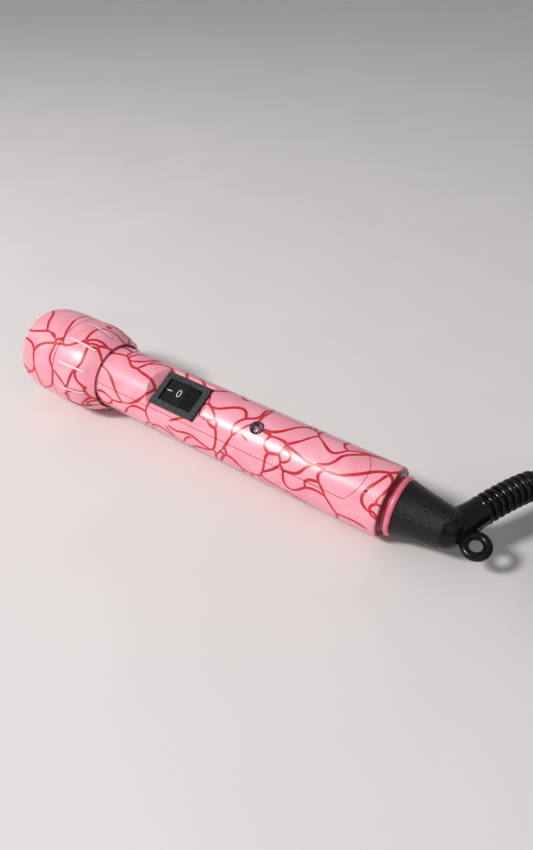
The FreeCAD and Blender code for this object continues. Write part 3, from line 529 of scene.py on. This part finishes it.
def crackle_lines(tree, place, facing, lift):
    """1 on the lines of one pattern, whose width is measured along the surface."""
    side = vectors(tree, "NORMALIZE", vectors(tree, "CROSS_PRODUCT", facing, (1.0, 0.0, 0.0)))
    ahead = vectors(tree, "CROSS_PRODUCT", facing, side)
    here, meeting = field_at(tree, place)
    rises = []
    for way in (side, ahead):
        moved, _ = field_at(tree, vectors(tree, "ADD", place, scaled(tree, way, SLOPE_STEP)))
        rise = maths(tree, "DIVIDE", maths(tree, "SUBTRACT", moved, here), SLOPE_STEP)
        rises.append(maths(tree, "MULTIPLY", rise, rise))
    slope = maths(tree, "SQRT", maths(tree, "ADD", *rises))
    distance = maths(tree, "DIVIDE", here, maths(tree, "MAXIMUM", slope, LEAST_SLOPE))
    web = stretch(tree, meeting, MEETING_LOW, MEETING_HIGH, 1.0, WEB)
    pen = spread(tree, noise(tree, place, PEN_SIZE, 1.0), PEN_LOW, PEN_HIGH)
    other = vectors(tree, "ADD", place, LIFT_SHIFT)
    pressed = stretch(tree, noise(tree, other, LIFT_SIZE, 1.0), lift, lift + LIFT_OVER)
    half = maths(tree, "MULTIPLY", maths(tree, "MULTIPLY", pen, web), pressed)
    over = maths(tree, "SUBTRACT", half, distance)
    line = stretch(tree, over, -LINE_EDGE, LINE_EDGE)
    return maths(tree, "MULTIPLY", line, stretch(tree, pressed, 0.0, LIFT_FADE))


def crackle_mask(tree, place, facing):
    """The whole print: 1 where it is red."""
    patterns = [
        crackle_lines(tree, vectors(tree, "ADD", place, shift), facing, lift)
        for shift, lift in (NET, STROKES)
    ]
    return maths(tree, "MAXIMUM", *patterns)


# ---- the pink shells ----
# A wall counts as a seam's where its direction lies nearly along the handle, behind the head's lip, and gets
# painted shade.
WALL_LOW, WALL_HIGH = 0.2, 0.45
LIP_FROM, LIP_TO = -27.5, -27.0
RIB_COUNT = 11
# A rib's crest, which gets a painted highlight, as shares of the ribs' spacing, and where the crests start
# and end along the handle.
CREST_IN, CREST_OUT = 0.036, 0.046
CREST_START = (-21.8, -21.2)
CREST_END = (-5.4, -4.8)
# The tail's pink ring is painted darker in the groove before it, as painted shade.
SHADED_GROOVE = (157.0, 157.8)


def painted_seam_shade(tree, place, facing):
    """1 on the narrow walls of the seams, the parting line and the rear rim's face: where the pink shell
    gets a painted shade.
    """
    round_part = vectors(tree, "NORMALIZE", vectors(tree, "MULTIPLY", place, (0.0, 1.0, 1.0)))
    outward = maths(tree, "ABSOLUTE", vectors(tree, "DOT_PRODUCT", facing, round_part))
    wall = stretch(tree, outward, WALL_LOW, WALL_HIGH, 1.0, 0.0)
    return maths(tree, "MULTIPLY", wall, stretch(tree, part_of(tree, place, "X"), LIP_FROM, LIP_TO))


def rib_crest_highlight(tree, place):
    """1 on the tops of the collar's grip ribs, where a lighter pink is painted as a painted highlight."""
    turn = maths(tree, "ARCTAN2", part_of(tree, place, "Y"), part_of(tree, place, "Z"))
    off = maths(tree, "PINGPONG", maths(tree, "MULTIPLY", turn, RIB_COUNT / (2 * math.pi)), 0.5)
    crest = stretch(tree, off, CREST_IN, CREST_OUT, 1.0, 0.0)
    along = part_of(tree, place, "X")
    after_start, before_end = stretch(tree, along, *CREST_START), stretch(tree, along, *CREST_END, 1.0, 0.0)
    return maths(tree, "MULTIPLY", crest, maths(tree, "MULTIPLY", after_start, before_end))


def pink_shell():
    """Printed pink plastic under a thin clear coat."""
    made, tree, shader = new_material(
        "pink_shell", coat_weight=0.55, coat_roughness=0.28, ior=1.48, specular_ior_level=0.5)
    place, facing = on_handle(tree)
    mask = crackle_mask(tree, place, facing)
    shade = painted_seam_shade(tree, place, facing)
    cloud = noise(tree, place, 11.0, 3.0)
    grain = noise(tree, place, 0.9)
    pink = tones(tree, cloud, (246, 152, 170), (252, 170, 186))
    pink = mixed(tree, stretch(tree, grain, 0.55, 0.8, 0.0, 0.12), pink, rgb(252, 200, 212))
    red = tones(tree, noise(tree, place, 5.0), (206, 6, 30), (186, 12, 42))
    roughness = maths(tree, "ADD", stretch(tree, cloud, 0.2, 0.8, 0.38, 0.46),
                      maths(tree, "MULTIPLY", mask, 0.06))
    printed = mixed(tree, mask, pink, red)
    # The ribs' crests get a painted highlight in lighter pink.
    printed = mixed(tree, rib_crest_highlight(tree, place), printed, rgb(255, 214, 222))
    # The seams' walls, the parting line and the rear rim's face are painted dark red as painted shade.
    surface(tree, shader, mixed(tree, shade, printed, rgb(128, 16, 44)), roughness)
    film = maths(tree, "ADD", maths(tree, "MULTIPLY", mask, 0.35), noise(tree, place, 4.0, 1.0))
    bumped(tree, shader, film, 0.03, 0.6)
    return made


def pink_plain():
    """The tail's ring: the same plastic, with no print, and painted shade in its groove."""
    made, tree, shader = new_material("pink_plain", coat_weight=0.5, coat_roughness=0.12)
    place, _ = on_handle(tree)
    cloud = noise(tree, place, 3.0)
    pink = tones(tree, cloud, (228, 104, 130), (240, 126, 150))
    groove_painted_shade = stretch(tree, part_of(tree, place, "X"), *SHADED_GROOVE, 1.0, 0.0)
    # Dark red painted shade in the groove in front of the ring.
    surface(tree, shader, mixed(tree, groove_painted_shade, pink, rgb(142, 24, 52)),
            stretch(tree, cloud, 0.2, 0.8, 0.28, 0.38))
    bumped(tree, shader, cloud, 0.02, 0.5)
    return made


# ---- moulded plastics, metals and the rest ----
# Marks on metal: how often they change along X, Y and Z for each millimetre, and how deep they look.
DRAWN_MARKS = (0.4, 6.0, 6.0)
DRAWN_DEPTH = 0.006


def plastic(name, dark, light, rough, grain, depth, tone=6.0, coat=0.0, shine=0.5):
    """Moulded plastic: two near tones in soft clouds, and a fine grain of that many millimetres."""
    made, tree, shader = new_material(name, coat_weight=coat, coat_roughness=0.12, specular_ior_level=shine)
    place = in_mm(tree)
    cloud = noise(tree, place, tone, 3.0)
    speck = noise(tree, place, grain, 2.0, 0.6)
    roughness = maths(tree, "ADD", spread(tree, speck, rough - 0.05, rough + 0.05),
                      spread(tree, cloud, -0.03, 0.03))
    surface(tree, shader, tones(tree, cloud, dark, light), roughness)
    bumped(tree, shader, speck, depth)
    return made


def metal(name, dark, light, rough):
    """Metal with fine drawn marks along X and a slight tarnish."""
    made, tree, shader = new_material(name, metallic=1.0)
    place = in_mm(tree)
    drawn = noise(tree, vectors(tree, "MULTIPLY", place, DRAWN_MARKS), 1.0, 3.0, 0.6)
    tarnish = noise(tree, place, 4.0, 4.0, 0.6)
    roughness = maths(tree, "ADD", spread(tree, drawn, rough - 0.06, rough + 0.08),
                      stretch(tree, tarnish, 0.4, 0.7, 0.0, 0.06))
    surface(tree, shader, tones(tree, tarnish, light, dark, low=0.35), roughness)
    bumped(tree, shader, drawn, DRAWN_DEPTH)
    return made


def satin_black():
    """The cone's fine spark-eroded grain: small bright facets on near-black plastic."""
    made, tree, shader = new_material("satin_black", specular_ior_level=0.42)
    place = in_mm(tree)
    coarse = node(tree, "TexVoronoi", {"Vector": place, "Scale": 1.0 / 0.42}, feature="SMOOTH_F1")
    fine = noise(tree, place, 0.28, 2.0, 0.6)
    cloud = noise(tree, place, 5.0)
    relief = maths(tree, "ADD", coarse.outputs["Distance"], maths(tree, "MULTIPLY", fine, 0.6))
    surface(tree, shader, tones(tree, cloud, (5, 5, 6), (9, 8, 11)), spread(tree, fine, 0.3, 0.42))
    bumped(tree, shader, relief, 0.22)
    return made


def sheath(name, dark, light, rough, shine=0.45):
    """Soft cord sheath: a fine skin and a dull bloom."""
    made, tree, shader = new_material(name, specular_ior_level=shine, sheen_weight=0.02)
    place = in_mm(tree)
    bloom = noise(tree, place, 12.0, 4.0)
    skin = noise(tree, place, 0.5)
    surface(tree, shader, tones(tree, bloom, dark, light, low=0.35),
            spread(tree, bloom, rough - 0.05, rough + 0.08))
    bumped(tree, shader, skin, 0.02, 0.8)
    return made


def threads(tree, place, axis, scale, distortion):
    """Bands that follow one another along an axis of the strap, closer for a larger scale."""
    inputs = {"Vector": place, "Scale": scale, "Distortion": distortion}
    return node(tree, "TexWave", inputs, bands_direction=axis).outputs["Fac"]


def woven_strap():
    """Hook and loop strap: a close weave of raised threads."""
    made, tree, shader = new_material("tie_black", sheen_weight=0.25, sheen_roughness=0.5)
    place = in_mm(tree)
    turn = {"Vector": place, "Rotation": (0.0, 0.0, TIE_ANGLE)}
    flat = node(tree, "VectorRotate", turn, rotation_type="EULER_XYZ", invert=True).outputs[0]
    warp = threads(tree, flat, "Y", 0.62, 0.5)
    weft = threads(tree, flat, "X", 0.5, 0.6)
    rise = threads(tree, flat, "Z", 0.5, 0.6)
    fuzz = noise(tree, place, 0.3, 3.0, 0.7)
    weave = maths(tree, "ADD", maths(tree, "MULTIPLY", warp, maths(tree, "MAXIMUM", weft, rise)),
                  maths(tree, "MULTIPLY", fuzz, 0.7))
    surface(tree, shader, tones(tree, weave, (16, 16, 18), (52, 51, 56), low=0.2, high=1.2),
            spread(tree, fuzz, 0.75, 0.95))
    bumped(tree, shader, weave, 0.18, 0.8)
    return made


def circuit_board():
    """Lacquered green board with lighter tracks under the lacquer."""
    made, tree, shader = new_material("board_green", coat_weight=0.4, coat_roughness=0.2)
    place, _ = on_handle(tree)
    inputs = {"Vector": place, "Color1": (0, 0, 0, 1), "Color2": (1, 1, 1, 1), "Mortar": (0.5, 0.5, 0.5, 1),
              "Scale": 0.22, "Mortar Size": 0.03, "Brick Width": 1.7, "Row Height": 0.42}
    tracks = node(tree, "TexBrick", inputs).outputs["Fac"]
    haze = noise(tree, place, 2.0, 3.0)
    base = mixed(tree, tracks, rgb(18, 92, 52), rgb(64, 138, 84))
    base = mixed(tree, stretch(tree, haze, 0.5, 0.8, 0.0, 0.3), base, rgb(12, 60, 40))
    surface(tree, shader, base, spread(tree, haze, 0.3, 0.42))
    bumped(tree, shader, tracks, 0.04, 0.7)
    return made


def lamp_glass():
    """Clear smoky red plastic over an unlit lamp."""
    made, tree, shader = new_material(
        "lamp_red", transmission_weight=0.35, ior=1.49, coat_weight=0.5, coat_roughness=0.05)
    place, _ = on_handle(tree)
    inner = noise(tree, place, 1.1)
    surface(tree, shader, tones(tree, inner, (120, 62, 84), (196, 150, 170), low=0.4, high=0.6),
            spread(tree, inner, 0.08, 0.22))
    bumped(tree, shader, inner, 0.18, 0.8)
    return made


def wire_cover():
    """Pale grey wire insulation."""
    made, tree, shader = new_material("wire_insulation", sheen_weight=0.05)
    place = in_mm(tree)
    cloud = noise(tree, place, 8.0)
    skin = noise(tree, place, 0.4)
    surface(tree, shader, tones(tree, cloud, (178, 178, 182), (206, 205, 200)),
            spread(tree, cloud, 0.38, 0.5))
    bumped(tree, shader, skin, 0.02, 0.7)
    return made


# The finish of each slot that the record names.
FINISHES = {
    "pink_shell": pink_shell(),
    "pink_plain": pink_plain(),
    "inner_plastic": plastic("inner_plastic", (206, 198, 182), (222, 215, 200), 0.48, 0.5, 0.012),
    "contact_brass": metal("contact_brass", (168, 124, 60), (226, 184, 104), 0.26),
    "spring_steel": metal("spring_steel", (128, 128, 134), (196, 197, 204), 0.28),
    "screw_steel": metal("screw_steel", (120, 118, 116), (190, 190, 194), 0.33),
    "switch_black": plastic("switch_black", (22, 24, 27), (60, 64, 69), 0.4, 0.7, 0.12, tone=0.7),
    "plunger_white": plastic("plunger_white", (222, 220, 212), (236, 235, 228), 0.4, 0.4, 0.01),
    "lamp_metal": metal("lamp_metal", (70, 52, 62), (150, 132, 142), 0.3),
    "lamp_red": lamp_glass(),
    "board_green": circuit_board(),
    "component_black": plastic("component_black", (26, 26, 28), (40, 40, 42), 0.5, 0.25, 0.015, tone=2.0),
    "capacitor_blue": plastic("capacitor_blue", (30, 62, 132), (44, 84, 158), 0.3, 0.8, 0.01, coat=0.5),
    "fuse_metal": metal("fuse_metal", (150, 140, 118), (208, 200, 182), 0.3),
    "wire_insulation": wire_cover(),
    "satin_black": satin_black(),
    "smooth_black": plastic("smooth_black", (5, 4, 6), (9, 8, 10), 0.24, 1.5, 0.006, shine=0.3),
    "cord_black": sheath("cord_black", (20, 19, 21), (30, 29, 31), 0.4),
    "tie_black": woven_strap(),
    "plug_black": plastic("plug_black", (22, 22, 24), (32, 32, 34), 0.4, 0.35, 0.02, tone=8.0),
}
ROCKER_BLACK = plastic("rocker_black", (8, 8, 10), (14, 14, 17), 0.34, 0.5, 0.012, tone=1.5, shine=0.36)


def finish_nodes():
    """Every CAD node takes the finish of the slot that the record gives it."""
    for name, piece in NODES.items():
        for slot in piece.material_slots:
            key = slot.material.name.split(".")[0] if slot.material else ""
            if key in FINISHES:
                slot.material = FINISHES[key]
            else:
                print("no finish for", name, key)
    # The rocker is smoother than its bezel.
    NODES["rocker"].material_slots[0].material = ROCKER_BLACK


def dress(piece, material):
    """Gives a new piece its material."""
    piece.data.materials.clear()
    piece.data.materials.append(material)


finish_nodes()
dress(cord, FINISHES["cord_black"])
dress(sleeve, sheath("sleeve_black", (5, 4, 6), (9, 8, 10), 0.2, shine=0.34))
for strap in straps:
    dress(strap, FINISHES["tie_black"])


# ---- marks on the rocker, in millimetres on the handle's axes ----
# Three points (x, z) of the rocker's front face.
ROCKER_FACE = ((35.65, 12.3), (42.45, 13.75), (48.65, 14.4))
# The paint's top and bottom, over the face and under it.
MARK_LIFT, MARK_LOW = 0.04, -0.03
# The bar: its middle, length and width, the share of its width at its ends, and its steps.
BAR_MIDDLE, BAR_LONG, BAR_WIDE, BAR_END, BAR_STEPS = 39.3, 3.3, 0.42, 0.8, 8
# The ring: its middle, its reach in x and y, its line's width, and its steps.
RING_MIDDLE, RING_X, RING_Y, RING_LINE, RING_STEPS = 45.5, 1.2, 2.0, 0.36, 48


def face_height(x):
    """Height of the rocker's front face, an arc through three points of its section."""
    (ax, az), (bx, bz), (cx, cz) = ROCKER_FACE
    d = 2 * (ax * (bz - cz) + bx * (cz - az) + cx * (az - bz))
    sa, sb, sc = ax * ax + az * az, bx * bx + bz * bz, cx * cx + cz * cz
    ux = (sa * (bz - cz) + sb * (cz - az) + sc * (az - bz)) / d
    uz = (sa * (cx - bx) + sb * (ax - cx) + sc * (bx - ax)) / d
    radius = math.hypot(ax - ux, az - uz)
    return uz + math.sqrt(radius * radius - (x - ux) ** 2)


def on_rocker(spot, lift):
    x, y = spot
    return LAID @ (Vector((x, y, face_height(x) + lift)) * MM)


def paint_layer(name, loops, closed):
    """A thin solid of paint, from the two sides of each place along a stroke."""
    verts = []
    for one, other in loops:
        verts += [on_rocker(one, MARK_LOW), on_rocker(other, MARK_LOW)]
        verts += [on_rocker(other, MARK_LIFT), on_rocker(one, MARK_LIFT)]
    return object_from(name, verts, tube_faces(len(loops), 4, closed))


def make_marks():
    loops = []
    for i in range(BAR_STEPS + 1):
        x = BAR_MIDDLE - BAR_LONG / 2 + BAR_LONG * i / BAR_STEPS
        y = BAR_WIDE / 2 * (BAR_END if i in (0, BAR_STEPS) else 1.0)
        loops.append(((x, -y), (x, y)))
    bar = paint_layer("rocker_mark_on", loops, False)
    loops = []
    for k in range(RING_STEPS):
        a = 2 * math.pi * k / RING_STEPS
        outer = (RING_MIDDLE + RING_X * math.cos(a), RING_Y * math.sin(a))
        inner = (RING_MIDDLE + (RING_X - RING_LINE) * math.cos(a), (RING_Y - RING_LINE) * math.sin(a))
        loops.append((outer, inner))
    ring = paint_layer("rocker_mark_off", loops, True)
    paint = plastic("mark_white", (226, 226, 226), (244, 244, 244), 0.5, 0.3, 0.01, tone=1.0)
    for piece in (bar, ring):
        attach(piece, "switch_key")
        dress(piece, paint)


make_marks()


# ---- floor and light ----
FLOOR_HALF = 4.0
SKY_COLOUR, SKY_STRENGTH = (0.93, 0.93, 0.96, 1.0), 0.36
LIT_POINT = Vector((0.0, 0.0, 0.02))
# The key light stands that high over the lit point, and that far round from -X towards -Y.
KEY_RISE, KEY_TURN = math.radians(43.0), math.radians(58.0)
KEY_FAR, KEY_SIZE, KEY_POWER, KEY_COLOUR = 1.4, 0.24, 15.5, (1.0, 0.98, 0.95)
FILL_AT, FILL_SIZE, FILL_POWER, FILL_COLOUR = (0.9, -0.7, 0.9), 0.9, 1.2, (1.0, 1.0, 1.0)


def make_floor():
    mesh = bpy.data.meshes.new("floor")
    corners = [(x * FLOOR_HALF, y * FLOOR_HALF, 0) for x, y in ((-1, -1), (1, -1), (1, 1), (-1, 1))]
    mesh.from_pydata(corners, [], [(0, 1, 2, 3)])
    floor = placed("floor", mesh)
    made, tree, shader = new_material("floor", specular_ior_level=0.2)
    cloud = noise(tree, in_mm(tree), 60.0, 3.0)
    surface(tree, shader, mixed(tree, cloud, rgb(226, 222, 222), rgb(232, 229, 228)),
            spread(tree, cloud, 0.75, 0.85))
    mesh.materials.append(made)


def area_light(name, place, size, power, colour):
    """A square lamp that faces the lit point."""
    data = bpy.data.lights.new(name, "AREA")
    data.size = size
    data.energy = power
    data.color = colour
    lamp = placed(name, data)
    lamp.location = place
    lamp.rotation_euler = (LIT_POINT - Vector(place)).to_track_quat("-Z", "Y").to_euler()


def make_light():
    world = bpy.data.worlds.new("studio")
    world.use_nodes = True
    background = world.node_tree.nodes["Background"]
    background.inputs["Color"].default_value = SKY_COLOUR
    background.inputs["Strength"].default_value = SKY_STRENGTH
    bpy.context.scene.world = world
    level = math.cos(KEY_RISE)
    way = Vector((-math.cos(KEY_TURN) * level, -math.sin(KEY_TURN) * level, math.sin(KEY_RISE)))
    area_light("key", LIT_POINT + way * KEY_FAR, KEY_SIZE, KEY_POWER, KEY_COLOUR)
    area_light("fill", FILL_AT, FILL_SIZE, FILL_POWER, FILL_COLOUR)


make_floor()
make_light()
